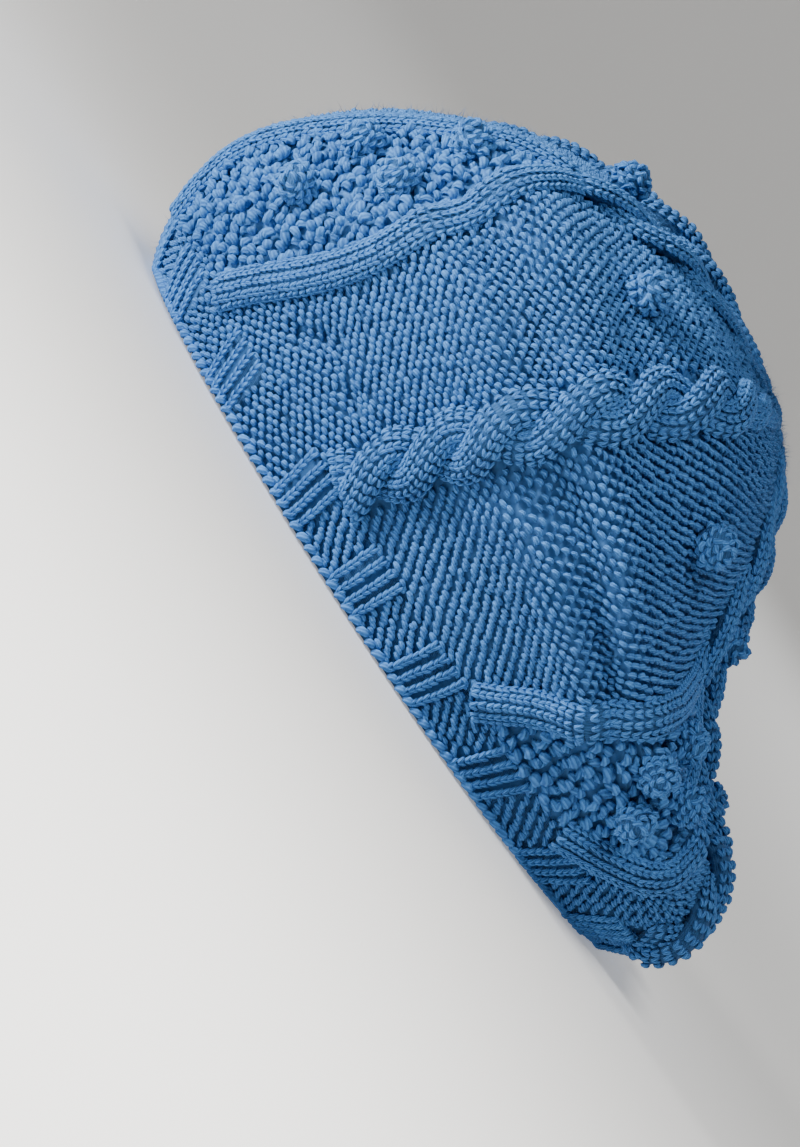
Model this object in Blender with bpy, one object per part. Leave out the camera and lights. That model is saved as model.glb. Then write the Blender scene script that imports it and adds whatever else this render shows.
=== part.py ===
# Cable knit beret, at rest on its own rim.
# Metres, +Z up. The front of the hat faces -Y and the wearer's left side faces +X.
import math

import bmesh
import bpy
import numpy as np
from mathutils import Matrix, Vector
from mathutils.bvhtree import BVHTree

# Head opening
RIM_LENGTH = 0.234
RIM_WIDTH = 0.152
BAND_HEIGHT = 0.0185

# Bag of the hat, measured from the middle of the head opening
BAG_FRONT = 0.1335
BAG_BACK = 0.1315
BAG_WIDTH = 0.206
CROWN_HEIGHT = 0.1275
CENTRE_BACK = 0.020
CENTRE_SIDE = 0.004
RIM_FULLNESS = 2.0
BAG_FULLNESS = 2.3
FRONT_NARROWING = 0.12
NARROWING_END = 0.45

# Knitted fabric
KNIT_WALL = 0.0034
PIECE_GAP = 0.0005
BAND_CLIMB = 0.088
BAND_GAP_CLIMB = 0.003
FOLD_DEPTH = 0.0050

# Ribs on the band
RIB_BLOCKS = 20
RIBS_PER_BLOCK = 4
RIB_SPACING = 0.0034
RIB_RELIEF = 0.0012
RIB_EDGE = 0.0025

# Raised cables
ROPE_WIDTH = 0.0220
ROPE_HEIGHT = 0.0058
ROPE_TWIST = 0.0210
TIP_ROPE_WIDTH = 0.0165
TIP_ROPE_HEIGHT = 0.0045
TIP_ROPE_TWIST = 0.0270
COLUMN_WIDTH = 0.0115
COLUMN_HEIGHT = 0.0036
CABLE_EDGE = 0.0009
LEAF_HALF_WIDTH = 0.0310

# Bobbles
BOBBLE_RADIUS = 0.0052
BOBBLE_SINK = 0.45

# Mesh fineness
AROUND = 56
OUTER_ROWS = 22
INNER_ROWS = 7
ROPE_STEP = 0.0067
COLUMN_STEP = 0.0080
UNDER_SHARES = (1.0, 0.0, -1.0)
SEAT_PASSES = 3
SEAT_SAMPLES = (0.0, 0.25, 0.5, 0.75, 1.0)

# Fabric below the widest part, as shares of the way from the rim out to the bag,
# with heights as shares of the band's height.
# climb, front, back, side, front height, back height, side height
UNDERSIDE = (
    (0.000, 0.00, 0.00, 0.00, 0.00, 0.00, 0.00),
    (BAND_CLIMB, 0.62, 0.80, 0.19, 0.81, 0.66, 0.96),
)

# Fabric above it, as shares of the way from the centre out to the bag,
# with heights as shares of the crown's height.
# climb, front, back, side, front height, back height, side height
TOPSIDE = (
    (0.18, 1.000, 1.000, 0.840, 0.300, 0.185, 0.27),
    (0.32, 0.945, 0.870, 0.950, 0.560, 0.290, 0.47),
    (0.46, 0.805, 0.650, 1.000, 0.785, 0.390, 0.65),
    (0.60, 0.625, 0.462, 0.895, 0.950, 0.530, 0.80),
    (0.74, 0.410, 0.305, 0.665, 1.025, 0.720, 0.91),
    (0.87, 0.205, 0.160, 0.355, 1.030, 0.890, 0.98),
    (1.00, 0.000, 0.000, 0.000, 1.000, 1.000, 1.00),
)

# Lines that the pattern follows from the rim to the centre, as degrees round the hat
# from the front towards the wearer's left.
# name, at the rim, a third of the way, two thirds, at the centre
PATTERN_LINES = (
    ("leaf", 19.0, 35.0, 33.0, 33.0),
    ("rope", 72.0, 81.0, 87.0, 88.0),
    ("leaf", 108.0, 137.0, 155.0, 148.0),
    ("rope", 153.0, 171.0, 192.0, 192.0),
    ("leaf", 199.0, 212.0, 226.0, 232.0),
    ("rope", 240.0, 250.0, 264.0, 270.0),
    ("leaf", 284.0, 291.0, 300.0, 308.0),
    ("rope", 328.0, 331.0, 336.0, 348.0),
)
LINE_CLIMBS = (0.0, 0.30, 0.60, 1.0)
BLOCKS_PER_LINE = RIB_BLOCKS / len(PATTERN_LINES)

# Width of a leaf panel, as shares of its half width, measured to its columns' middles.
# climb, share
LEAF_SHAPE = (
    (0.00, 0.42),
    (0.10, 0.76),
    (0.19, 1.02),
    (0.29, 1.03),
    (0.40, 0.84),
    (0.50, 0.50),
    (0.60, 0.00),
)
LEAF_TIP = 0.60
TIP_START = 0.036
CABLE_START = BAND_CLIMB + 3 * BAND_GAP_CLIMB
ROPE_END = 0.925
TAPER_START = 0.70
TAPER_SHARE = 0.40

# Soft folds and dents, as shares of the fold depth, outward positive.
# degrees round, climb, half width in degrees, half height in climb, depth
FOLDS = (
    (46.0, 0.50, 20.0, 0.095, 1.00),
    (62.0, 0.64, 26.0, 0.085, -0.75),
    (96.0, 0.60, 28.0, 0.090, -0.60),
    (112.0, 0.75, 36.0, 0.100, 0.70),
    (118.0, 0.44, 22.0, 0.110, 0.55),
    (165.0, 0.60, 20.0, 0.090, -0.40),
    (214.0, 0.55, 26.0, 0.100, -0.75),
    (246.0, 0.46, 22.0, 0.100, 0.80),
    (274.0, 0.64, 28.0, 0.090, -0.75),
    (302.0, 0.46, 20.0, 0.100, 0.70),
    (326.0, 0.62, 22.0, 0.090, -0.50),
)

# Bobbles inside a leaf: climb, share of the half width to one side
LEAF_BOBBLES = (
    (0.245, 0.08),
    (0.338, -0.38),
    (0.362, 0.32),
    (0.458, -0.15),
)
WEDGE_BOBBLE_CLIMB = 0.665

HAT_BLUE = (0.075, 0.190, 0.420)
DEEP_BLUE = (0.055, 0.150, 0.350)
LIGHT_BLUE = (0.100, 0.235, 0.480)


def clear_scene():
    for old in list(bpy.data.objects):
        bpy.data.objects.remove(old, do_unlink=True)


def knit_material(name, colour):
    # Matt yarn finish
    material = bpy.data.materials.new(name)
    material.use_nodes = True
    shader = material.node_tree.nodes["Principled BSDF"]
    shader.inputs["Base Color"].default_value = (*colour, 1.0)
    shader.inputs["Roughness"].default_value = 0.85
    shader.inputs["Metallic"].default_value = 0.0
    return material


def smooth_curve(knots, values, at):
    # Piecewise cubic through the knots, with the slopes of its neighbours
    knots = np.asarray(knots, float)
    values = np.asarray(values, float)
    at = min(max(at, knots[0]), knots[-1])
    spans = np.diff(knots)
    rises = np.diff(values, axis=0) / spans.reshape((-1,) + (1,) * (values.ndim - 1))
    slopes = np.empty_like(values)
    slopes[0] = rises[0]
    slopes[-1] = rises[-1]
    for k in range(1, len(knots) - 1):
        ahead = spans[k - 1] / (spans[k - 1] + spans[k])
        slopes[k] = rises[k - 1] * (1.0 - ahead) + rises[k] * ahead
    k = int(np.searchsorted(knots, at, side="right")) - 1
    k = min(max(k, 0), len(spans) - 1)
    f = (at - knots[k]) / spans[k]
    low = values[k] * (2 * f ** 3 - 3 * f ** 2 + 1) + slopes[k] * spans[k] * (f ** 3 - 2 * f ** 2 + f)
    high = values[k + 1] * (3 * f ** 2 - 2 * f ** 3) + slopes[k + 1] * spans[k] * (f ** 3 - f ** 2)
    return low + high


def section_rows():
    # Each row: climb, front y, back y, half width, middle x, then three heights
    rows = []
    for climb, front, back, side, front_up, back_up, side_up in UNDERSIDE:
        rows.append((
            climb,
            -RIM_LENGTH / 2 - front * (BAG_FRONT - RIM_LENGTH / 2),
            RIM_LENGTH / 2 + back * (BAG_BACK - RIM_LENGTH / 2),
            RIM_WIDTH / 2 + side * (BAG_WIDTH - RIM_WIDTH) / 2,
            0.0,
            front_up * BAND_HEIGHT,
            back_up * BAND_HEIGHT,
            side_up * BAND_HEIGHT,
        ))
    for climb, front, back, side, front_up, back_up, side_up in TOPSIDE:
        rows.append((
            climb,
            CENTRE_BACK - front * (BAG_FRONT + CENTRE_BACK),
            CENTRE_BACK + back * (BAG_BACK - CENTRE_BACK),
            side * BAG_WIDTH / 2,
            CENTRE_SIDE * (1.0 - side) * climb,
            front_up * CROWN_HEIGHT,
            back_up * CROWN_HEIGHT,
            side_up * CROWN_HEIGHT,
        ))
    return rows


SECTIONS = section_rows()
SECTION_CLIMBS = [row[0] for row in SECTIONS]
SECTION_VALUES = [row[1:] for row in SECTIONS]


def plain_surface(angle, climb):
    # A point of the hat without its folds; angle in degrees from the front
    front, back, half, middle, front_up, back_up, side_up = smooth_curve(
        SECTION_CLIMBS, SECTION_VALUES, climb)
    turn = math.radians(angle)
    along, across = math.cos(turn), math.sin(turn)
    fullness = RIM_FULLNESS + (BAG_FULLNESS - RIM_FULLNESS) * climb
    size = (abs(along) ** fullness + abs(across) ** fullness) ** (-1.0 / fullness)
    along *= size
    across *= size
    y = (front + back) / 2 - along * (back - front) / 2
    narrowing = FRONT_NARROWING * max(1.0 - climb / NARROWING_END, 0.0)
    x = middle + across * half * (1.0 - narrowing * along)
    level = front_up * (1 + along) / 2 + back_up * (1 - along) / 2
    lift = (side_up - (front_up + back_up) / 2) * across * across
    return Vector((x, y, level + lift))


def plain_normal(angle, climb):
    low = min(climb, 0.985)
    round_step = plain_surface(angle + 1.0, low) - plain_surface(angle - 1.0, low)
    climb_step = plain_surface(angle, low + 0.012) - plain_surface(angle, max(low - 0.012, 0.0))
    return round_step.cross(climb_step).normalized()


def fold_height(angle, climb):
    total = 0.0
    for round_at, climb_at, round_half, climb_half, depth in FOLDS:
        turn = (angle - round_at + 180.0) % 360.0 - 180.0
        reach = (turn / round_half) ** 2 + ((climb - climb_at) / climb_half) ** 2
        total += depth * math.exp(-reach)
    return total * FOLD_DEPTH


def surface(angle, climb, height=0.0):
    point = plain_surface(angle, climb)
    return point + plain_normal(angle, climb) * (fold_height(angle, climb) + height)


def crown_climb(row, rows):
    start = BAND_CLIMB + BAND_GAP_CLIMB
    return start + (1.0 - start) * row / rows


def line_angle(index, climb):
    # Angle of one pattern line at a climb; lines beyond the last wrap round
    wraps, place = divmod(index, len(PATTERN_LINES))
    angles = PATTERN_LINES[place][1:]
    return float(smooth_curve(LINE_CLIMBS, angles, climb)) + 360.0 * wraps


def pattern_angle(line, climb):
    # Angle at a place between two pattern lines, such as 0.5
    low = math.floor(line)
    part = line - low
    return line_angle(low, climb) * (1 - part) + line_angle(low + 1, climb) * part


def round_scale(angle, climb):
    # Metres for one degree round the hat
    return (plain_surface(angle + 1.0, climb) - plain_surface(angle - 1.0, climb)).length / 2.0


def leaf_spread(climb):
    knots = [row[0] for row in LEAF_SHAPE]
    shares = [row[1] for row in LEAF_SHAPE]
    return max(float(smooth_curve(knots, shares, climb)), 0.0) * LEAF_HALF_WIDTH


def leaf_angle(line, climb, share):
    # Angle at a share of a leaf's half width from its middle
    middle = line_angle(line, climb)
    return middle + share * leaf_spread(climb) / round_scale(middle, climb)


def taper(climb):
    f = min(max((climb - TAPER_START) / (ROPE_END - TAPER_START), 0.0), 1.0)
    return 1.0 - (1.0 - TAPER_SHARE) * f * f * (3 - 2 * f)


def add_object(name, mesh, colour):
    mesh.validate()
    mesh.update()
    thing = bpy.data.objects.new(name, mesh)
    bpy.context.collection.objects.link(thing)
    mesh.materials.append(knit_material(name + "_knit", colour))
    mesh.shade_smooth()
    mesh.set_sharp_from_angle(angle=math.radians(50))
    return thing


def mesh_from(name, points, faces):
    mesh = bpy.data.meshes.new(name)
    mesh.from_pydata([tuple(p) for p in points], [], faces)
    return mesh


def ring_faces(first, second, count, closed=True):
    # Quads between two rows of points
    faces = []
    for k in range(count if closed else count - 1):
        after = (k + 1) % count
        faces.append((first + k, first + after, second + after, second + k))
    return faces


def build_crown():
    outer = [crown_climb(k, OUTER_ROWS) for k in range(OUTER_ROWS)]
    inner = [crown_climb(k, INNER_ROWS) for k in range(INNER_ROWS)]
    angles = [360.0 * k / AROUND for k in range(AROUND)]
    points = []
    faces = []
    for climb in outer:
        points += [surface(angle, climb) for angle in angles]
    top = len(points)
    points.append(surface(0.0, 1.0))
    for k in range(OUTER_ROWS - 1):
        faces += ring_faces(k * AROUND, (k + 1) * AROUND, AROUND)
    last = (OUTER_ROWS - 1) * AROUND
    faces += [(last + k, last + (k + 1) % AROUND, top) for k in range(AROUND)]
    inside = len(points)
    for climb in inner:
        points += [surface(angle, climb, -KNIT_WALL) for angle in angles]
    under = len(points)
    points.append(surface(0.0, 1.0, -KNIT_WALL))
    for k in range(INNER_ROWS - 1):
        faces += ring_faces(inside + (k + 1) * AROUND, inside + k * AROUND, AROUND)
    last = inside + (INNER_ROWS - 1) * AROUND
    faces += [(last + (k + 1) % AROUND, last + k, under) for k in range(AROUND)]
    faces += ring_faces(inside, 0, AROUND)
    return add_object("crown", mesh_from("crown", points, faces), HAT_BLUE)


def rib_columns():
    # Angles at the rim and the relief of each, block by block
    columns = []
    half = RIBS_PER_BLOCK * RIB_SPACING / 2
    for block in range(RIB_BLOCKS):
        line = (block - 0.5) / BLOCKS_PER_LINE
        middle = pattern_angle(line, 0.0)
        scale = round_scale(middle, 0.0)
        for step in range(2 * RIBS_PER_BLOCK + 1):
            offset = -half + step * RIB_SPACING / 2
            columns.append((middle + offset / scale, RIB_RELIEF * (step % 2)))
        columns.append((pattern_angle(line + 0.5 / BLOCKS_PER_LINE, 0.0), 0.0))
    return columns


def build_band():
    columns = rib_columns()
    count = len(columns)
    rise = BAND_CLIMB / BAND_HEIGHT
    levels = (
        (0.0, 0.0),
        (RIB_EDGE * rise, 1.0),
        (BAND_CLIMB - RIB_EDGE * rise, 1.0),
        (BAND_CLIMB, 0.0),
    )
    points = []
    faces = []
    for climb, share in levels:
        for angle, relief in columns:
            points.append(surface(angle, climb, relief * share))
    for k in range(len(levels) - 1):
        faces += ring_faces(k * count, (k + 1) * count, count)
    inside = len(points)
    for climb in (0.0, BAND_CLIMB):
        for angle, relief in columns:
            point = surface(angle, climb, -KNIT_WALL)
            if climb == 0.0:
                point.z = 0.0
            points.append(point)
    faces += ring_faces(inside + count, inside, count)
    faces += ring_faces(inside, 0, count)
    faces += ring_faces((len(levels) - 1) * count, inside + count, count)
    return add_object("band", mesh_from("band", points, faces), DEEP_BLUE)


def lateral_step(path, climb):
    # Steps of angle and climb that move one metre square to a path over the hat
    small = 0.01
    low = min(max(climb, small), 1.0 - small)
    angle = path(low)
    here = plain_surface(angle, low)
    along = plain_surface(path(low + small), low + small) - plain_surface(path(low - small), low - small)
    by_angle = plain_surface(angle + 1.0, low) - here
    by_climb = (plain_surface(angle, low + small) - here) / small
    a = by_angle.dot(along)
    b = by_climb.dot(along)
    move = by_angle * b - by_climb * a
    return b / move.length, -a / move.length


def path_stations(path, start, end, step):
    # Climbs spaced evenly along a path, with the length walked to each
    fine = [start + (end - start) * k / 200 for k in range(201)]
    spots = [plain_surface(path(climb), climb) for climb in fine]
    walked = [0.0]
    for a, b in zip(spots, spots[1:]):
        walked.append(walked[-1] + (b - a).length)
    count = max(int(round(walked[-1] / step)), 2)
    goals = [walked[-1] * k / count for k in range(count + 1)]
    return [(float(np.interp(goal, walked, fine)), goal) for goal in goals]


def facets(thing):
    corners = [v.co for v in thing.data.vertices]
    thing.data.calc_loop_triangles()
    return BVHTree.FromPolygons(corners, [t.vertices for t in thing.data.loop_triangles])


def shortfall(fabric, point):
    # How much further out a point has to lie to keep the gap to the fabric
    spot, normal, _, _ = fabric.find_nearest(point)
    return max(PIECE_GAP - (point - spot).dot(normal), 0.0)


def cable_rings(path, stations, half_width, profile, across, lifts):
    # Points of each cross section, top side first, then the underside
    tops = [-1.0 + 2.0 * k / (across - 1) for k in range(across)]
    rings = []
    for (climb, walked), lift in zip(stations, lifts):
        by_angle, by_climb = lateral_step(path, climb)
        half = half_width(climb)
        sides = [(share, CABLE_EDGE + profile(share, walked, climb)) for share in tops]
        sides += [(share, 0.0) for share in UNDER_SHARES]
        ring = []
        for share, height in sides:
            angle = path(climb) + by_angle * half * share
            low = max(climb + by_climb * half * share, CABLE_START)
            ring.append(surface(angle, low, PIECE_GAP + height + lift))
        rings.append(ring)
    return rings


def build_cable(name, fabric, path, start, end, step, half_width, profile, across, colour):
    # A raised strip that lies on the crown, with flat ends and a clear underside
    stations = path_stations(path, start, end, step)
    lifts = [0.0] * len(stations)
    under = len(UNDER_SHARES)
    for _ in range(SEAT_PASSES):
        rings = cable_rings(path, stations, half_width, profile, across, lifts)
        needs = [0.0] * len(stations)
        for k in range(len(rings) - 1):
            for a in rings[k][-under:]:
                for b in rings[k + 1][-under:]:
                    need = max(shortfall(fabric, a.lerp(b, share)) for share in SEAT_SAMPLES)
                    needs[k] = max(needs[k], need)
                    needs[k + 1] = max(needs[k + 1], need)
        lifts = [lift + need for lift, need in zip(lifts, needs)]
    rings = cable_rings(path, stations, half_width, profile, across, lifts)
    count = len(rings[0])
    points = [point for ring in rings for point in ring]
    faces = []
    for k in range(len(rings) - 1):
        faces += ring_faces(k * count, (k + 1) * count, count)
    last = (len(rings) - 1) * count
    faces.append(tuple(range(count - 1, -1, -1)))
    faces.append(tuple(range(last, last + count)))
    mesh = mesh_from(name, points, faces)
    shape = bmesh.new()
    shape.from_mesh(mesh)
    bmesh.ops.recalc_face_normals(shape, faces=shape.faces)
    bmesh.ops.triangulate(shape, faces=[f for f in shape.faces if len(f.verts) > 4])
    shape.to_mesh(mesh)
    shape.free()
    return add_object(name, mesh, colour)


def twisted_profile(height, twist):
    # Upper outline of two strands that twist round each other
    def profile(share, walked, climb):
        turn = math.pi * walked / twist
        top = 0.0
        for side in (0.0, math.pi):
            middle = 0.48 * math.cos(turn + side)
            lift = 0.22 * math.sin(turn + side)
            inside = 1.0 - ((share - middle) / 0.52) ** 2
            if inside > 0.0:
                top = max(top, math.sqrt(inside) * 0.78 + lift)
        return height * top * taper(climb)
    return profile


def rounded_profile(height):
    # Upper outline of a smooth raised column
    def profile(share, walked, climb):
        return height * math.sqrt(max(1.0 - share * share, 0.0))
    return profile


def build_ropes(fabric):
    number = 0
    for line, row in enumerate(PATTERN_LINES):
        if row[0] != "rope":
            continue
        number += 1
        build_cable(
            f"rope_cable_{number}", fabric,
            lambda climb, line=line: line_angle(line, climb),
            CABLE_START, ROPE_END, ROPE_STEP,
            lambda climb: ROPE_WIDTH / 2 * taper(climb),
            twisted_profile(ROPE_HEIGHT, ROPE_TWIST), 7, LIGHT_BLUE)


def column_end():
    # Climb at which the two columns of a leaf come within a gap of each other
    climb = LEAF_SHAPE[3][0]
    while leaf_spread(climb) > COLUMN_WIDTH / 2 + 3 * PIECE_GAP and climb < LEAF_TIP:
        climb += 0.002
    return climb


def build_leaves(fabric):
    number = 0
    for line, row in enumerate(PATTERN_LINES):
        if row[0] != "leaf":
            continue
        number += 1
        for side, letter in ((-1.0, "a"), (1.0, "b")):
            build_cable(
                f"leaf_column_{number}{letter}", fabric,
                lambda climb, line=line, side=side: leaf_angle(line, climb, side),
                CABLE_START, column_end(), COLUMN_STEP,
                lambda climb: COLUMN_WIDTH / 2,
                rounded_profile(COLUMN_HEIGHT), 4, LIGHT_BLUE)
        build_cable(
            f"tip_rope_{number}", fabric,
            lambda climb, line=line: line_angle(line, climb),
            column_end() + TIP_START, ROPE_END, ROPE_STEP,
            lambda climb: TIP_ROPE_WIDTH / 2 * taper(climb),
            twisted_profile(TIP_ROPE_HEIGHT, TIP_ROPE_TWIST), 5, LIGHT_BLUE)


def build_bobble(name, fabric, angle, climb):
    # A ball whose lower half is squashed where it sits on the fabric
    mesh = bpy.data.meshes.new(name)
    shape = bmesh.new()
    bmesh.ops.create_uvsphere(shape, u_segments=8, v_segments=5, radius=BOBBLE_RADIUS)
    for vert in shape.verts:
        if vert.co.z < 0.0:
            vert.co.z *= BOBBLE_SINK
    normal = plain_normal(angle, climb)
    turn = normal.to_track_quat("Z", "Y").to_matrix().to_4x4()
    middle = surface(angle, climb, PIECE_GAP + BOBBLE_RADIUS * BOBBLE_SINK)
    shape.transform(Matrix.Translation(middle) @ turn)
    lift = max(shortfall(fabric, vert.co) for vert in shape.verts)
    shape.transform(Matrix.Translation(normal * lift))
    shape.to_mesh(mesh)
    shape.free()
    return add_object(name, mesh, LIGHT_BLUE)


def build_bobbles(fabric):
    number = 0
    for line, row in enumerate(PATTERN_LINES):
        if row[0] != "leaf":
            continue
        number += 1
        for place, (climb, share) in enumerate(LEAF_BOBBLES, 1):
            build_bobble(f"leaf_bobble_{number}_{place}", fabric, leaf_angle(line, climb, share), climb)
        for side, letter in ((-0.5, "a"), (0.5, "b")):
            build_bobble(f"wedge_bobble_{number}{letter}", fabric,
                         pattern_angle(line + side, WEDGE_BOBBLE_CLIMB), WEDGE_BOBBLE_CLIMB)


def rest_on_origin():
    # Puts the middle of the hat's underside at the origin
    corners = np.array([v.co[:] for thing in bpy.data.objects for v in thing.data.vertices])
    low = corners.min(axis=0)
    high = corners.max(axis=0)
    shift = Matrix.Translation((-(low[0] + high[0]) / 2, -(low[1] + high[1]) / 2, -low[2]))
    for thing in bpy.data.objects:
        thing.data.transform(shift)


clear_scene()
build_band()
crown_facets = facets(build_crown())
build_ropes(crown_facets)
build_leaves(crown_facets)
build_bobbles(crown_facets)
rest_on_origin()
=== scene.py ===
import math

import bpy
import numpy as np
from mathutils import Matrix, Vector


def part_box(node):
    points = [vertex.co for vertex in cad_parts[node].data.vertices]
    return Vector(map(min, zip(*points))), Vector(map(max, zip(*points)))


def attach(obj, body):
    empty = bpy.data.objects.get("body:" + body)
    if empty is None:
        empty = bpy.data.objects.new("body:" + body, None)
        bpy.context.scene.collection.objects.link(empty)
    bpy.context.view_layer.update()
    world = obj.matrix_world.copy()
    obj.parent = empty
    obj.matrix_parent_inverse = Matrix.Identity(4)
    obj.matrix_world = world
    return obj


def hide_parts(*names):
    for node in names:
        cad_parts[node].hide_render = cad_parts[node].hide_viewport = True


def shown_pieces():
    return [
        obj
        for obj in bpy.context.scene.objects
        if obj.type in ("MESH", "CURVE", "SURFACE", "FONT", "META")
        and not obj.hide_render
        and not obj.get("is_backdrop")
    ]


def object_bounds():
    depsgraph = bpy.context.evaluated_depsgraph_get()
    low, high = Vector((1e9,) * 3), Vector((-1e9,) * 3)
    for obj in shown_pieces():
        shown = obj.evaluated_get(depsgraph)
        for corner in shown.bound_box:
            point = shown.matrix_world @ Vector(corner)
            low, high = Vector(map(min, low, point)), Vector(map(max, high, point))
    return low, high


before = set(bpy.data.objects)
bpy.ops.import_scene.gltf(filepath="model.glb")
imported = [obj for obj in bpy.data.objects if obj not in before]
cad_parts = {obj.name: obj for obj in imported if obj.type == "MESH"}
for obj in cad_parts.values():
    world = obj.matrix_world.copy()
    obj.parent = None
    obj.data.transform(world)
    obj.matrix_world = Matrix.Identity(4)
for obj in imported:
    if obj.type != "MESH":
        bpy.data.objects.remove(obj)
cadLow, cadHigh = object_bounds()
rng = np.random.default_rng(12)

# The hat's form, in metres, with the front at -Y and the wearer's left at +X
hat = {
    "rimLength": 0.234, "rimWidth": 0.152, "bandHeight": 0.0185,
    "bagFront": 0.1335, "bagBack": 0.1315, "bagWidth": 0.206, "crownHeight": 0.1275,
    "centreBack": 0.020, "centreSide": 0.004,
    "rimFullness": 2.0, "bagFullness": 2.3, "frontNarrowing": 0.12, "narrowingEnd": 0.45,
    "wall": 0.0034, "foldDepth": 0.0050,
    "bandClimb": 0.088, "bandGap": 0.003, "cableStart": 0.097,
    "crownRound": 56, "crownRows": 22,
}

# Below the widest part: climb, then front, back and side as shares from the rim out to the
# bag, then front, back and side heights as shares of the band's height
underside = (
    (0.000, 0.00, 0.00, 0.00, 0.00, 0.00, 0.00),
    (0.088, 0.62, 0.80, 0.19, 0.81, 0.66, 0.96),
)

# Above it: the same, as shares from the centre out to the bag and of the crown's height
topside = (
    (0.18, 1.000, 1.000, 0.840, 0.300, 0.185, 0.27),
    (0.32, 0.945, 0.870, 0.950, 0.560, 0.290, 0.47),
    (0.46, 0.805, 0.650, 1.000, 0.785, 0.390, 0.65),
    (0.60, 0.625, 0.462, 0.895, 0.950, 0.530, 0.80),
    (0.74, 0.410, 0.305, 0.665, 1.025, 0.720, 0.91),
    (0.87, 0.205, 0.160, 0.355, 1.030, 0.890, 0.98),
    (1.00, 0.000, 0.000, 0.000, 1.000, 1.000, 1.00),
)

# Lines of the pattern, in degrees from the front towards the wearer's left, at lineClimbs
patternLines = (
    ("leaf", 19.0, 35.0, 33.0, 33.0),
    ("rope", 72.0, 81.0, 87.0, 88.0),
    ("leaf", 108.0, 137.0, 155.0, 148.0),
    ("rope", 153.0, 171.0, 192.0, 192.0),
    ("leaf", 199.0, 212.0, 226.0, 232.0),
    ("rope", 240.0, 250.0, 264.0, 270.0),
    ("leaf", 284.0, 291.0, 300.0, 308.0),
    ("rope", 328.0, 331.0, 336.0, 348.0),
)
lineClimbs = (0.0, 0.30, 0.60, 1.0)

# Width of a leaf panel: climb, share of its half width
leafShape = (
    (0.00, 0.42), (0.10, 0.76), (0.19, 1.02), (0.29, 1.03),
    (0.40, 0.84), (0.50, 0.50), (0.60, 0.00),
)

# Soft folds: degrees round, climb, half width in degrees, half height in climb, depth share
folds = (
    (46.0, 0.50, 20.0, 0.095, 1.00), (62.0, 0.64, 26.0, 0.085, -0.75),
    (96.0, 0.60, 28.0, 0.090, -0.60), (112.0, 0.75, 36.0, 0.100, 0.70),
    (118.0, 0.44, 22.0, 0.110, 0.55), (165.0, 0.60, 20.0, 0.090, -0.40),
    (214.0, 0.55, 26.0, 0.100, -0.75), (246.0, 0.46, 22.0, 0.100, 0.80),
    (274.0, 0.64, 28.0, 0.090, -0.75), (302.0, 0.46, 20.0, 0.100, 0.70),
    (326.0, 0.62, 22.0, 0.090, -0.50),
)

# Small dimples where the lace stitches pull the purl ground in, in the same columns
dimples = (
    (55.0, 0.155, 1.7, 0.013, -0.60), (58.0, 0.180, 1.8, 0.016, -0.70),
    (60.0, 0.200, 1.5, 0.012, -0.40), (67.0, 0.175, 2.2, 0.014, -0.60),
)

# Sharp creases of the slack bag: share of the height, then angle and climb along each
creases = (
    (0.85, (40.0, 0.345), (54.0, 0.375), (65.0, 0.400), (76.0, 0.380), (90.0, 0.360)),
    (1.00, (84.0, 0.310), (97.0, 0.330), (103.0, 0.335), (109.0, 0.315), (124.0, 0.245)),
    (0.60, (150.0, 0.350), (164.0, 0.330), (178.0, 0.350), (190.0, 0.360)),
    (0.85, (216.0, 0.340), (230.0, 0.365), (244.0, 0.345), (258.0, 0.325)),
    (0.75, (256.0, 0.385), (272.0, 0.365), (286.0, 0.350), (300.0, 0.335)),
)
crease = {
    "height": 0.0046, "lowWidth": 0.075, "highWidth": 0.028, "fade": 0.35,
    "valleyShare": 0.65, "valleyAt": 0.078, "valleyWidth": 0.034,
    "swellShare": 0.45, "swellAt": 0.165, "swellWidth": 0.050,
}

# Small steps that directions on the hat are measured over, in climb, and the highest such place
probe = {"wallStep": 0.012, "stitchStep": 0.006, "cableStep": 0.01, "highest": 0.985}


def smoothCurve(knots, values, at):
    # cubic through the knots, for many places at once
    knots = np.asarray(knots, float)
    values = np.asarray(values, float)
    single = values.ndim == 1
    if single:
        values = values[:, None]
    at = np.clip(np.asarray(at, float), knots[0], knots[-1])
    spans = np.diff(knots)
    rises = np.diff(values, axis=0) / spans[:, None]
    slopes = np.empty_like(values)
    slopes[0] = rises[0]
    slopes[-1] = rises[-1]
    ahead = (spans[:-1] / (spans[:-1] + spans[1:]))[:, None]
    slopes[1:-1] = rises[:-1] * (1 - ahead) + rises[1:] * ahead
    k = np.clip(np.searchsorted(knots, at, side="right") - 1, 0, len(spans) - 1)
    span = spans[k][..., None]
    f = (at - knots[k])[..., None] / span
    low = values[k] * (2 * f**3 - 3 * f**2 + 1) + slopes[k] * span * (f**3 - 2 * f**2 + f)
    high = values[k + 1] * (3 * f**2 - 2 * f**3) + slopes[k + 1] * span * (f**3 - f**2)
    total = low + high
    return total[..., 0] if single else total


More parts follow.
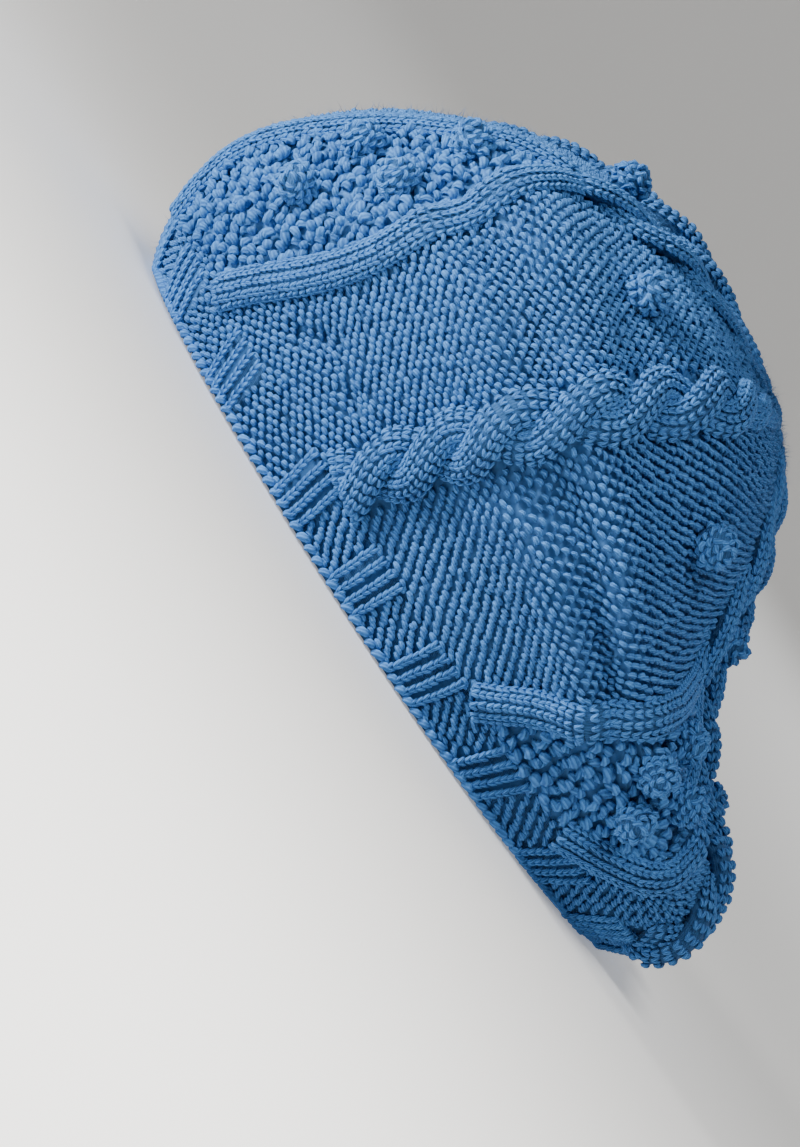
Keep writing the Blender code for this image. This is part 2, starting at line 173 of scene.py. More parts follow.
def sectionRows():
    # climb, front y, back y, half width, middle x, then the three heights
    rows = []
    for climb, front, back, side, *heights in underside:
        rows.append((
            climb,
            -hat["rimLength"] / 2 - front * (hat["bagFront"] - hat["rimLength"] / 2),
            hat["rimLength"] / 2 + back * (hat["bagBack"] - hat["rimLength"] / 2),
            hat["rimWidth"] / 2 + side * (hat["bagWidth"] - hat["rimWidth"]) / 2,
            0.0,
            *[height * hat["bandHeight"] for height in heights],
        ))
    for climb, front, back, side, *heights in topside:
        rows.append((
            climb,
            hat["centreBack"] - front * (hat["bagFront"] + hat["centreBack"]),
            hat["centreBack"] + back * (hat["bagBack"] - hat["centreBack"]),
            side * hat["bagWidth"] / 2,
            hat["centreSide"] * (1 - side) * climb,
            *[height * hat["crownHeight"] for height in heights],
        ))
    return np.array(rows)


sections = sectionRows()


def plainPoint(angle, climb):
    # points of the hat without its folds, angle in degrees
    angle, climb = np.broadcast_arrays(np.asarray(angle, float), np.asarray(climb, float))
    values = smoothCurve(sections[:, 0], sections[:, 1:], climb)
    front, back, half, middle, frontUp, backUp, sideUp = np.moveaxis(values, -1, 0)
    along = np.cos(np.radians(angle))
    across = np.sin(np.radians(angle))
    fullness = hat["rimFullness"] + (hat["bagFullness"] - hat["rimFullness"]) * climb
    size = (np.abs(along)**fullness + np.abs(across)**fullness)**(-1 / fullness)
    along = along * size
    across = across * size
    narrowing = hat["frontNarrowing"] * np.maximum(1 - climb / hat["narrowingEnd"], 0)
    x = middle + across * half * (1 - narrowing * along)
    y = (front + back) / 2 - along * (back - front) / 2
    level = frontUp * (1 + along) / 2 + backUp * (1 - along) / 2
    z = level + (sideUp - (frontUp + backUp) / 2) * across**2
    return np.stack([x, y, z], axis=-1)


def unit(vectors):
    return vectors / np.maximum(np.linalg.norm(vectors, axis=-1, keepdims=True), 1e-12)


def outward(angle, climb):
    # outward directions of the hat
    step = probe["wallStep"]
    low = np.minimum(climb, probe["highest"])
    roundStep = plainPoint(angle + 1.0, low) - plainPoint(angle - 1.0, low)
    climbStep = plainPoint(angle, low + step) - plainPoint(angle, np.maximum(low - step, 0))
    return unit(np.cross(roundStep, climbStep))


def foldHeight(angle, climb, table=folds):
    total = 0.0
    for roundAt, climbAt, roundHalf, climbHalf, depth in table:
        turn = (angle - roundAt + 180) % 360 - 180
        total = total + depth * np.exp(-(turn / roundHalf)**2 - ((climb - climbAt) / climbHalf)**2)
    return total * hat["foldDepth"]


def creaseHeight(angle, climb):
    # a ridge that rises gently, drops steeply into a valley and swells again
    total = 0.0
    for share, *knots in creases:
        turns, climbs = zip(*knots)
        middle = (turns[0] + turns[-1]) / 2
        reach = (turns[-1] - turns[0]) / 2
        turn = (angle - middle + 180) % 360 - 180
        fade = np.clip((reach - np.abs(turn)) / (crease["fade"] * reach), 0, 1)
        rise = climb - smoothCurve(turns, climbs, turn + middle)
        width = np.where(rise < 0, crease["lowWidth"], crease["highWidth"])
        ridge = np.exp(-(rise / width)**2)
        valley = crease["valleyShare"] * np.exp(-((rise - crease["valleyAt"]) / crease["valleyWidth"])**2)
        swell = crease["swellShare"] * np.exp(-((rise - crease["swellAt"]) / crease["swellWidth"])**2)
        total = total + share * fade * fade * (3 - 2 * fade) * (ridge - valley + swell)
    return total * crease["height"]


def centredShift():
    # the CAD model is centred on its box, so the same crown points give how far it was moved
    start = hat["bandClimb"] + hat["bandGap"]
    rows = start + (1 - start) * np.arange(hat["crownRows"]) / hat["crownRows"]
    turns = 360 * np.arange(hat["crownRound"]) / hat["crownRound"]
    angle, climb = np.meshgrid(turns, rows)
    points = plainPoint(angle, climb) + outward(angle, climb) * foldHeight(angle, climb)[..., None]
    own = points.reshape(-1, 3).min(axis=0)
    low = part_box("crown")[0]
    return np.array([low[0] - own[0], low[1] - own[1], 0.0])


shift = centredShift()


def hatPoint(angle, climb, height=0.0):
    angle, climb = np.broadcast_arrays(np.asarray(angle, float), np.asarray(climb, float))
    height = np.broadcast_to(np.asarray(height, float), angle.shape)
    lift = foldHeight(angle, climb) + foldHeight(angle, climb, dimples)
    lift = lift + creaseHeight(angle, climb) + height
    return plainPoint(angle, climb) + outward(angle, climb) * lift[..., None] + shift


def lineAngle(line, climb):
    wraps, place = divmod(line, len(patternLines))
    return smoothCurve(lineClimbs, patternLines[place][1:], climb) + 360.0 * wraps


def patternAngle(line, climb):
    # between two lines, such as 0.5
    low = math.floor(line)
    part = line - low
    return lineAngle(low, climb) * (1 - part) + lineAngle(low + 1, climb) * part


def roundScale(angle, climb):
    # metres for one degree
    return np.linalg.norm(plainPoint(angle + 1.0, climb) - plainPoint(angle - 1.0, climb), axis=-1) / 2


cables = {
    "ropeWidth": 0.0220, "ropeTwist": 0.0210, "ropeHeight": 0.0072, "ropeWales": 5,
    "tipWidth": 0.0165, "tipTwist": 0.0270, "tipHeight": 0.0056, "tipWales": 4, "tipStart": 0.575,
    "columnWidth": 0.0115, "columnHeight": 0.0036, "columnLift": 0.0006, "columnWales": 5,
    "leafHalf": 0.0310, "ropeEnd": 0.945, "taperStart": 0.70, "taperShare": 0.42, "rowStep": 0.0022,
    "strandAside": 0.47, "strandMiddle": 0.27, "strandRise": 0.33,  # shares of the rope's size
    "strandHalfWidth": 0.50, "strandHalfHeight": 0.54, "fadeRows": 3,
    "bodySides": 12, "bodyWidth": 0.90, "bodyHeight": 0.84,  # the yarn body under the stitches
    "columnBodyWidth": 0.94, "columnBodyHeight": 0.85,
    "waleReach": 68, "jitter": 0.00010, "sizeSpread": 0.05,
}
leafLines = [line for line, row in enumerate(patternLines) if row[0] == "leaf"]


def leafSpread(climb):
    knots, shares = zip(*leafShape)
    return np.maximum(smoothCurve(knots, shares, climb), 0) * cables["leafHalf"]


def leafAngle(line, climb, share):
    middle = lineAngle(line, climb)
    return middle + share * leafSpread(climb) / roundScale(middle, climb)


def taper(climb):
    f = np.clip((climb - cables["taperStart"]) / (cables["ropeEnd"] - cables["taperStart"]), 0, 1)
    return 1 - (1 - cables["taperShare"]) * f * f * (3 - 2 * f)


def lateralStep(path, climb):
    # degrees and climb that move one metre square to a path
    step = probe["cableStep"]
    low = np.clip(climb, step, 1 - step)
    angle = path(low)
    here = plainPoint(angle, low)
    along = plainPoint(path(low + step), low + step) - plainPoint(path(low - step), low - step)
    byAngle = plainPoint(angle + 1.0, low) - here
    byClimb = (plainPoint(angle, low + step) - here) / step
    a = (byAngle * along).sum(-1)
    b = (byClimb * along).sum(-1)
    size = np.linalg.norm(byAngle * b[..., None] - byClimb * a[..., None], axis=-1)
    return b / size, -a / size


def walkPath(path, start, end, step, parts=400):
    # climbs at even steps along a path, with the length walked to each
    fine = np.linspace(start, end, parts)
    spots = plainPoint(path(fine), fine)
    walked = np.concatenate([[0], np.cumsum(np.linalg.norm(np.diff(spots, axis=0), axis=1))])
    count = max(int(round(walked[-1] / step)), 2)
    goals = walked[-1] * np.arange(count + 1) / count
    return np.interp(goals, walked, fine), goals


# Materials

def addNode(tree, kind, settings=(), links=()):
    node = tree.nodes.new(kind)
    for name, value in settings:
        if str(name).startswith("."):
            setattr(node, name[1:], value)
        else:
            node.inputs[name].default_value = value
    for name, source in links:
        tree.links.new(source, node.inputs[name])
    return node


yarn = {
    "light": (0.080, 0.268, 0.640), "dark": (0.034, 0.125, 0.355), "smoothTint": 1.06,
    "darkAt": 0.38, "middleAt": 0.66, "lightAt": 0.98,
    "roughness": 0.92, "specular": 0.25,
    "sheen": 0.10, "sheenRoughness": 0.45, "sheenTint": (0.20, 0.45, 0.90),
    "plyRound": 3.1416, "plyAlong": 0.85, "plyWander": 2.2, "plyDetail": 2.5, "plyShare": 0.45,
    "fibreScale": 1500.0, "fibreShare": 0.55, "patchScale": 38.0, "patchShare": 0.35,
    "plyBump": 0.60, "fibreBump": 0.9, "bumpDepth": 0.00035,
}
# The wall's blues, darker than the yarn's, are painted shade for the gaps between the stitches
wall = {
    "light": (0.070, 0.205, 0.480), "dark": (0.028, 0.100, 0.270), "darkAt": 0.3, "lightAt": 0.95,
    "roughness": 0.9, "specular": 0.10, "bump": 0.8, "bumpDepth": 0.0008,
    "waleScale": 34.0, "rowScale": 20.0, "patchScale": 60.0, "knitShare": 0.5,
    "sunk": 0.0011, "thinner": 0.0012, "seam": 0.001, "weld": 0.00002,
    "crownGrid": (168, 104), "bandGrid": (240, 8),
}


def colourRamp(tree, source, stops):
    ramp = addNode(tree, "ShaderNodeValToRGB", (), (("Fac", source),))
    ramp.color_ramp.elements[0].position = stops[0][0]
    ramp.color_ramp.elements[0].color = (*stops[0][1], 1)
    ramp.color_ramp.elements[1].position = stops[-1][0]
    ramp.color_ramp.elements[1].color = (*stops[-1][1], 1)
    for place, colour in stops[1:-1]:
        stop = ramp.color_ramp.elements.new(place)
        stop.color = (*colour, 1)
    return ramp


def makeYarnMaterial(name, tint=1.0):
    # spun yarn: ply streaks along the UV map, loose fibres, and patches of lighter dye
    material = bpy.data.materials.new(name)
    material.use_nodes = True
    tree = material.node_tree
    shader = tree.nodes["Principled BSDF"]
    shader.inputs["Roughness"].default_value = yarn["roughness"]
    shader.inputs["Sheen Weight"].default_value = yarn["sheen"]
    shader.inputs["Sheen Roughness"].default_value = yarn["sheenRoughness"]
    shader.inputs["Sheen Tint"].default_value = (*yarn["sheenTint"], 1)
    shader.inputs["Specular IOR Level"].default_value = yarn["specular"]
    place = addNode(tree, "ShaderNodeTexCoord")
    patches = addNode(tree, "ShaderNodeTexNoise",
                      (("Scale", yarn["patchScale"]), ("Detail", 4.0), ("Roughness", 0.6)),
                      (("Vector", place.outputs["Object"]),))
    fibres = addNode(tree, "ShaderNodeTexNoise",
                     (("Scale", yarn["fibreScale"]), ("Detail", 3.0), ("Roughness", 0.7)),
                     (("Vector", place.outputs["Object"]),))
    turned = addNode(tree, "ShaderNodeMapping",
                     (("Scale", (yarn["plyRound"], yarn["plyAlong"], 1.0)),),
                     (("Vector", place.outputs["UV"]),))
    plies = addNode(tree, "ShaderNodeTexWave",
                    ((".bands_direction", "DIAGONAL"), ("Scale", 1.0), ("Distortion", yarn["plyWander"]),
                     ("Detail", 2.0), ("Detail Scale", yarn["plyDetail"])),
                    (("Vector", turned.outputs["Vector"]),))
    shade = addNode(tree, "ShaderNodeAttribute", ((".attribute_name", "shade"),))
    plySum = addNode(tree, "ShaderNodeMath", ((".operation", "MULTIPLY_ADD"), (1, yarn["plyShare"])),
                     ((0, plies.outputs["Fac"]), (2, shade.outputs["Fac"])))
    mottle = addNode(tree, "ShaderNodeMath", ((".operation", "MULTIPLY_ADD"), (1, yarn["fibreShare"])),
                     ((0, fibres.outputs["Fac"]), (2, plySum.outputs["Value"])))
    total = addNode(tree, "ShaderNodeMath", ((".operation", "MULTIPLY_ADD"), (1, yarn["patchShare"])),
                    ((0, patches.outputs["Fac"]), (2, mottle.outputs["Value"])))
    light = tuple(channel * tint for channel in yarn["light"])
    dark = tuple(channel * tint for channel in yarn["dark"])
    middle = tuple((a + b) / 2 for a, b in zip(light, dark))
    stops = ((yarn["darkAt"], dark), (yarn["middleAt"], middle), (yarn["lightAt"], light))
    ramp = colourRamp(tree, total.outputs["Value"], stops)
    tree.links.new(ramp.outputs["Color"], shader.inputs["Base Color"])
    relief = addNode(tree, "ShaderNodeMath", ((".operation", "MULTIPLY_ADD"), (1, yarn["fibreBump"])),
                     ((0, fibres.outputs["Fac"]), (2, plies.outputs["Fac"])))
    bump = addNode(tree, "ShaderNodeBump",
                   (("Strength", yarn["plyBump"]), ("Distance", yarn["bumpDepth"])),
                   (("Height", relief.outputs["Value"]),))
    tree.links.new(bump.outputs["Normal"], shader.inputs["Normal"])
    return material


def makeShadedWallMaterial(name):
    # the knitted wall under the raised stitches, with the smooth knit side within
    material = bpy.data.materials.new(name)
    material.use_nodes = True
    tree = material.node_tree
    shader = tree.nodes["Principled BSDF"]
    shader.inputs["Roughness"].default_value = wall["roughness"]
    shader.inputs["Specular IOR Level"].default_value = wall["specular"]
    place = addNode(tree, "ShaderNodeTexCoord")
    patches = addNode(tree, "ShaderNodeTexNoise", (("Scale", wall["patchScale"]), ("Detail", 4.0)),
                      (("Vector", place.outputs["Object"]),))
    wales = addNode(tree, "ShaderNodeTexWave",
                    ((".bands_direction", "X"), ("Scale", wall["waleScale"]), ("Distortion", 0.8),
                     ("Detail", 2.0)),
                    (("Vector", place.outputs["UV"]),))
    rows = addNode(tree, "ShaderNodeTexWave",
                   ((".bands_direction", "DIAGONAL"), ("Scale", wall["rowScale"]), ("Distortion", 1.0),
                    ("Detail", 2.0)),
                   (("Vector", place.outputs["UV"]),))
    both = addNode(tree, "ShaderNodeMath", ((".operation", "MULTIPLY"),),
                   ((0, wales.outputs["Fac"]), (1, rows.outputs["Fac"])))
    total = addNode(tree, "ShaderNodeMath", ((".operation", "MULTIPLY_ADD"), (1, wall["knitShare"])),
                    ((0, both.outputs["Value"]), (2, patches.outputs["Fac"])))
    # blues darker than the yarn's: painted shade, with the real knit pattern and patches over it
    stops = ((wall["darkAt"], wall["dark"]), (wall["lightAt"], wall["light"]))
    ramp = colourRamp(tree, total.outputs["Value"], stops)
    tree.links.new(ramp.outputs["Color"], shader.inputs["Base Color"])
    bump = addNode(tree, "ShaderNodeBump", (("Strength", wall["bump"]), ("Distance", wall["bumpDepth"])),
                   (("Height", both.outputs["Value"]),))
    tree.links.new(bump.outputs["Normal"], shader.inputs["Normal"])
    return material


yarnMaterial = makeYarnMaterial("blueYarn")
smoothYarnMaterial = makeYarnMaterial("blueYarnSmooth", yarn["smoothTint"])
shadedWallMaterial = makeShadedWallMaterial("blueWallPaintedShade")
print("materials made")


# Stitches: each kind is modelled once and copied over the hat

stitch = {
    "purlAround": 5, "purlRings": 4, "purlFlat": 0.95, "kneeAround": 4, "kneeRings": 4, "kneeFlat": 0.9,
    "bluntEnds": 0.9, "floorGap": 0.0002, "shadeSpread": 0.12,
    "kneeLength": 0.0031, "kneeThick": 0.00138, "kneeSpread": 0.34, "kneeArch": 0.0005,
    "seedLength": 0.0040, "seedThick": 0.0029, "seedBend": 0.0008, "seedSink": 0.0014,
}


def deselectAll():
    for thing in bpy.context.selected_objects:
        thing.select_set(False)


def yarnBead(length, width, height, around, rings):
    # a rounded length of yarn along X, from a sphere laid on its side
    deselectAll()
    bpy.ops.mesh.primitive_uv_sphere_add(segments=around, ring_count=rings, radius=1.0)
    bead = bpy.context.object
    bpy.ops.object.mode_set(mode="EDIT")
    bpy.ops.mesh.select_all(action="SELECT")
    bpy.ops.transform.rotate(value=math.pi / 2, orient_axis="Y", center_override=(0, 0, 0))
    bpy.ops.transform.resize(value=(length / 2, width / 2, height / 2), center_override=(0, 0, 0))
    bpy.ops.object.mode_set(mode="OBJECT")
    return bead


def readTemplate(*beads):
    # vertices, faces and UVs of the modelled stitch, and the models are then removed
    points, faces, uvs = [], [], []
    for bead in beads:
        mesh = bead.data
        base = sum(len(p) for p in points)
        co = np.empty(len(mesh.vertices) * 3)
        mesh.vertices.foreach_get("co", co)
        points.append(co.reshape(-1, 3))
        layer = mesh.uv_layers.active.data
        for polygon in mesh.polygons:
            faces.append([base + v for v in polygon.vertices])
            uvs.append([tuple(layer[k].uv) for k in polygon.loop_indices])
        bpy.data.objects.remove(bead)
    return {"points": np.concatenate(points), "faces": faces, "uvs": uvs}


def bluntEnds(share):
    # how much fuller the yarn is than an egg shape, at shares of its half length
    return 1 + stitch["bluntEnds"] * share[:, None]**2 * (1 - share[:, None]**2)


def purlTemplate(length, thick, bend, sink):
    # one purl bump: bent across its wale, with ends that dive into the wall
    bead = yarnBead(length, thick, thick * stitch["purlFlat"], stitch["purlAround"], stitch["purlRings"])
    template = readTemplate(bead)
    share = template["points"][:, 0] / (length / 2)
    template["points"][:, 1:] *= bluntEnds(share)
    template["points"][:, 1] += bend * (1 - share**2)
    template["points"][:, 2] -= sink * share**2
    return template


def kneeTemplate(length, thick, spread, arch):
    # one knit stitch: two legs that meet at the bottom
    legs = []
    reach = math.sin(spread) * length / 2
    for side in (-1, 1):
        leg = yarnBead(length, thick, thick * stitch["kneeFlat"], stitch["kneeAround"], stitch["kneeRings"])
        turn = math.pi / 2 - side * spread
        points = np.array([v.co[:] for v in leg.data.vertices])
        share = points[:, 0] / (length / 2)
        points[:, 1:] *= bluntEnds(share)
        points[:, 2] -= arch * share**2
        x = points[:, 0] * math.cos(turn) - points[:, 1] * math.sin(turn) + side * reach
        y = points[:, 0] * math.sin(turn) + points[:, 1] * math.cos(turn)
        leg.data.vertices.foreach_set("co", np.stack([x, y, points[:, 2]], axis=-1).ravel())
        legs.append(leg)
    return readTemplate(*legs)


def copyStitches(name, template, places, across, along, out, sizes, material, replaced=()):
    # one mesh with a stitch at each place, turned to its own three directions
    count = len(places)
    points = template["points"]
    sizes = np.broadcast_to(sizes, (count, 3))
    scaled = points[None, :, :] * sizes[:, None, :]
    placed = (places[:, None, :] + scaled[..., :1] * across[:, None, :]
              + scaled[..., 1:2] * along[:, None, :] + scaled[..., 2:] * out[:, None, :])
    placed[..., 2] = np.maximum(placed[..., 2], stitch["floorGap"])  # rim stitches lie flat on the floor
    size = len(points)
    corners = np.concatenate([np.array(face) for face in template["faces"]])
    counts = np.array([len(face) for face in template["faces"]])
    loops = (corners[None, :] + size * np.arange(count)[:, None]).ravel()
    lengths = np.tile(counts, count)
    mesh = bpy.data.meshes.new(name)
    mesh.vertices.add(count * size)
    mesh.vertices.foreach_set("co", placed.reshape(-1))
    mesh.loops.add(len(loops))
    mesh.loops.foreach_set("vertex_index", loops.astype(np.int32))
    mesh.polygons.add(len(lengths))
    starts = np.concatenate([[0], np.cumsum(lengths)[:-1]])
    mesh.polygons.foreach_set("loop_start", starts.astype(np.int32))
    layer = mesh.uv_layers.new(name="UVMap")
    flatUv = np.array([c for face in template["uvs"] for c in face])
    layer.data.foreach_set("uv", np.tile(flatUv, (count, 1)).ravel().astype(np.float32))
    shades = mesh.attributes.new("shade", "FLOAT", "POINT")
    shade = rng.uniform(-stitch["shadeSpread"], stitch["shadeSpread"], count)
    shades.data.foreach_set("value", np.repeat(shade, size).astype(np.float32))
    mesh.update(calc_edges=True)
    mesh.validate()
    mesh.shade_smooth()
    thing = bpy.data.objects.new(name, mesh)
    bpy.context.scene.collection.objects.link(thing)
    mesh.materials.append(material)
    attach(thing, "root")
    if replaced:
        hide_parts(*replaced)


ground = {
    "waleSpacing": 0.0040, "rowSpacing": 0.0031, "bumpLength": 0.0032, "bumpThick": 0.00172,
    "bumpBend": 0.00060, "bumpSink": 0.0010, "bumpHeight": 0.00070, "lowClimb": 0.012, "topClimb": 0.992,
    "jitter": 0.00022, "slant": 0.42, "slantSpread": 0.14, "sizeSpread": 0.09,
    "underCable": 0.0024, "edgeShare": 0.15,  # in under a cable, and the share of a wale left at a limit
}
purl = purlTemplate(ground["bumpLength"], ground["bumpThick"], ground["bumpBend"], ground["bumpSink"])
knee = kneeTemplate(stitch["kneeLength"], stitch["kneeThick"], stitch["kneeSpread"], stitch["kneeArch"])
seed = purlTemplate(stitch["seedLength"], stitch["seedThick"], stitch["seedBend"], stitch["seedSink"])
print("stitches modelled")


def surfaceFrames(angle, climb, height, path=None):
    # places on the hat with their across, along and outward directions
    step = probe["stitchStep"]
    low = np.clip(climb, step, probe["highest"])
    if path is None:
        ahead, behind = angle, angle
    else:
        ahead = angle + path(low + step) - path(low)
        behind = angle + path(low - step) - path(low)
    along = unit(hatPoint(ahead, low + step) - hatPoint(behind, low - step))
    out = outward(angle, low)
    across = unit(np.cross(along, out))
    out = unit(np.cross(across, along))
    lift = np.broadcast_to(np.asarray(height, float), np.shape(climb))[..., None]
    return hatPoint(angle, climb) + out * lift, across, along, out


def clearOfCable(line, side, climb):
    # how far from a pattern line the plain fabric starts, in degrees, on one side of it
    middle = lineAngle(line, climb)
    scale = roundScale(middle, climb)
    rope = patternLines[line % len(patternLines)][0] == "rope"
    if rope:
        reach = cables["ropeWidth"] / 2 * taper(climb)
    else:
        leaf = leafSpread(climb) + cables["columnWidth"] / 2
        reach = np.maximum(leaf, cables["tipWidth"] / 2 * taper(climb))
    covered = (climb > hat["cableStart"]) & (climb < cables["ropeEnd"])
    reach = np.where(covered, reach - ground["underCable"], 0.0)
    return middle + side * reach / scale


band = {
    "blocks": 20, "blockHalf": 0.0075, "blockStart": 0.010, "blockEnd": 0.086,
    "ribs": 4, "ribSpacing": 0.0039, "ribRows": 8, "ribStart": 0.016, "ribEnd": 0.088,
    "ribHeight": 0.0018, "ribShape": (1.02, 1.10, 1.50), "ribJitter": 0.00010, "ribSpread": 0.05,
    "edgeBeads": 190, "edgeClimb": 0.004, "edgeHeight": 0.0024, "edgeLowest": 0.0012,
    "edgeLean": 0.60, "edgeShape": (1.45, 1.45, 1.50), "edgeSpread": 0.06,
}


def ribBlocks():
    # degrees at the middle of each rib block at the rim, and the metres of one degree there
    blocksPerLine = band["blocks"] / len(patternLines)
    for block in range(band["blocks"]):
        middle = float(patternAngle((block - 0.5) / blocksPerLine, 0.0))
        yield middle, float(roundScale(np.array(middle), np.array(0.0)))


def inRibBlock(angle, climb):
    inside = np.zeros(angle.shape, bool)
    ribbed = (climb > band["blockStart"]) & (climb < band["blockEnd"])
    for middle, scale in ribBlocks():
        turn = (angle - middle + 180) % 360 - 180
        inside |= (np.abs(turn * scale) < band["blockHalf"]) & ribbed
    return inside


def purlPlaces(middlePath, lowSide, highSide, start, end, wale, row):
    # brick lattice of bumps between two limits, with wales parallel to a middle path
    angles, heights = [], []
    for k, climb in enumerate(walkPath(middlePath, start, end, row / 2)[0]):
        c = np.array([climb])
        middle = middlePath(c)
        scale = roundScale(middle, c)
        low = float((lowSide(c) - middle)[0] * scale[0]) / wale
        high = float((highSide(c) - middle)[0] * scale[0]) / wale
        first = math.ceil(low - 0.5 * (k % 2) + ground["edgeShare"])
        last = math.floor(high - 0.5 * (k % 2) - ground["edgeShare"])
        if last < first:
            continue
        steps = np.arange(first, last + 1) + 0.5 * (k % 2)
        angles.append(middle + steps * wale / scale)
        heights.append(np.full(len(steps), climb))
    return np.concatenate(angles), np.concatenate(heights)


def scatterStitches(name, template, angle, climb, height, path, kind):
    # stitches over the fabric, each a little moved, slanted and resized
    places, across, along, out = surfaceFrames(angle, climb, height, path)
    places = places + rng.normal(0, kind["jitter"], places.shape)
    twist = rng.normal(kind["slant"], kind["slantSpread"], len(places))[:, None]
    turned = across * np.cos(twist) + along * np.sin(twist)
    squared = along * np.cos(twist) - across * np.sin(twist)
    sizes = 1 + rng.normal(0, kind["sizeSpread"], (len(places), 3))
    copyStitches(name, template, places, turned, squared, out, sizes, yarnMaterial)


def addGround():
    total = 0
    for line in range(len(patternLines)):
        middle = lambda climb, line=line: patternAngle(line + 0.5, climb)
        low = lambda climb, line=line: clearOfCable(line, 1.0, climb)
        high = lambda climb, line=line: clearOfCable(line + 1, -1.0, climb)
        angle, climb = purlPlaces(middle, low, high, ground["lowClimb"], ground["topClimb"],
                                  ground["waleSpacing"], ground["rowSpacing"])
        keep = ~inRibBlock(angle, climb)
        scatterStitches(f"purlWedge_{line + 1}", purl, angle[keep], climb[keep], ground["bumpHeight"],
                        middle, ground)
        total += int(keep.sum())
    print("ground bumps", total)


leafGround = {
    "waleSpacing": 0.0046, "rowSpacing": 0.0054, "topClimb": 0.56, "underColumn": 0.0008,
    "lump": 0.0024, "jitter": 0.00045, "slant": 0.3, "slantSpread": 0.60, "sizeSpread": 0.16,
}


def leafLimit(line, side, climb):
    # where the stitches of a leaf end under its column
    middle = lineAngle(line, climb)
    inset = cables["columnWidth"] / 2 - leafGround["underColumn"]
    return middle + side * np.maximum(leafSpread(climb) - inset, 0) / roundScale(middle, climb)


def addLeafStitches():
    for number, line in enumerate(leafLines, 1):
        middle = lambda climb, line=line: lineAngle(line, climb)
        low = lambda climb, line=line: leafLimit(line, -1.0, climb)
        high = lambda climb, line=line: leafLimit(line, 1.0, climb)
        angle, climb = purlPlaces(middle, low, high, hat["cableStart"], leafGround["topClimb"],
                                  leafGround["waleSpacing"], leafGround["rowSpacing"])
        lumps = rng.uniform(0.0, leafGround["lump"], len(angle))
        scatterStitches(f"seedLeaf_{number}", seed, angle, climb, lumps, middle, leafGround)


# Fabric wall under the stitches

def hatShell(name, startClimb, endClimb, grid, node):
    # a grid wrapped round the hat and given its knitted thickness
    deselectAll()
    bpy.ops.mesh.primitive_grid_add(x_subdivisions=grid[0], y_subdivisions=grid[1], size=2.0)
    shell = bpy.context.object
    shell.name = name
    mesh = shell.data
    co = np.empty(len(mesh.vertices) * 3)
    mesh.vertices.foreach_get("co", co)
    co = co.reshape(-1, 3)
    angle = (co[:, 0] + 1) * 180
    climb = startClimb + (co[:, 1] + 1) / 2 * (endClimb - startClimb)
    mesh.vertices.foreach_set("co", hatPoint(angle, climb, -wall["sunk"]).ravel())
    bpy.ops.object.mode_set(mode="EDIT")
    bpy.ops.mesh.select_all(action="SELECT")
    bpy.ops.mesh.remove_doubles(threshold=wall["weld"])
    bpy.ops.object.mode_set(mode="OBJECT")
    thick = shell.modifiers.new("wall", "SOLIDIFY")
    thick.thickness = hat["wall"] - wall["thinner"]
    thick.offset = -1.0
    thick.use_even_offset = False
    bpy.ops.object.modifier_apply(modifier=thick.name)
    mesh.shade_smooth()
    # painted shade: the wall's darker blue shows in the gaps between the stitches
    mesh.materials.append(shadedWallMaterial)
    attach(shell, "root")
    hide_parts(node)


def addBandStitches():
    angles, climbs = [], []
    rows = np.linspace(band["ribStart"], band["ribEnd"], band["ribRows"])
    for middle, scale in ribBlocks():
        for rib in range(band["ribs"]):
            place = middle + (rib - (band["ribs"] - 1) / 2) * band["ribSpacing"] / scale
            angles.append(np.full(len(rows), place))
            climbs.append(rows)
    angle, climb = np.concatenate(angles), np.concatenate(climbs)
    places, across, along, out = surfaceFrames(angle, climb, band["ribHeight"])
    places = places + rng.normal(0, band["ribJitter"], places.shape)
    sizes = np.array(band["ribShape"]) * (1 + rng.normal(0, band["ribSpread"], (len(places), 3)))
    copyStitches("ribStitches", knee, places, across, along, out, sizes, smoothYarnMaterial)
    turns = band["edgeBeads"]
    angle = 360 * (np.arange(turns) + 0.5) / turns
    climb = np.full(turns, band["edgeClimb"])
    places, across, along, out = surfaceFrames(angle, climb, band["edgeHeight"])
    places[:, 2] = np.maximum(places[:, 2], band["edgeLowest"])
    lean = band["edgeLean"]
    across, along = (across * math.cos(lean) + along * math.sin(lean),
                     along * math.cos(lean) - across * math.sin(lean))
    sizes = np.array(band["edgeShape"]) * (1 + rng.normal(0, band["edgeSpread"], (turns, 3)))
    copyStitches("castOnEdge", purl, places, across, along, out, sizes, smoothYarnMaterial)


def tubeAlong(name, centres, across, out, halfWidths, halfHeights):
    # a closed yarn body: a cylinder primitive whose rings follow the centres
    count = len(centres)
    deselectAll()
    bpy.ops.mesh.primitive_cylinder_add(vertices=cables["bodySides"], radius=1.0, depth=2.0,
                                        end_fill_type="TRIFAN")
    tube = bpy.context.object
    tube.name = name
    bpy.ops.object.mode_set(mode="EDIT")
    for k in range(1, count - 1):
        level = -1 + 2 * k / (count - 1)
        bpy.ops.mesh.select_all(action="SELECT")
        bpy.ops.mesh.bisect(plane_co=(0, 0, level), plane_no=(0, 0, 1))
    bpy.ops.object.mode_set(mode="OBJECT")
    mesh = tube.data
    co = np.array([v.co[:] for v in mesh.vertices])
    ring = np.clip(np.round((co[:, 2] + 1) / 2 * (count - 1)).astype(int), 0, count - 1)
    moved = (centres[ring] + across[ring] * (co[:, :1] * halfWidths[ring, None])
             + out[ring] * (co[:, 1:2] * halfHeights[ring, None]))
    mesh.vertices.foreach_set("co", moved.ravel())
    bpy.ops.object.mode_set(mode="EDIT")
    bpy.ops.mesh.select_all(action="SELECT")
    bpy.ops.mesh.normals_make_consistent(inside=False)
    bpy.ops.object.mode_set(mode="OBJECT")
    mesh.shade_smooth()
    # painted shade: this body's darker wall blue shows between the stitches over it
    mesh.materials.append(shadedWallMaterial)
    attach(tube, "root")


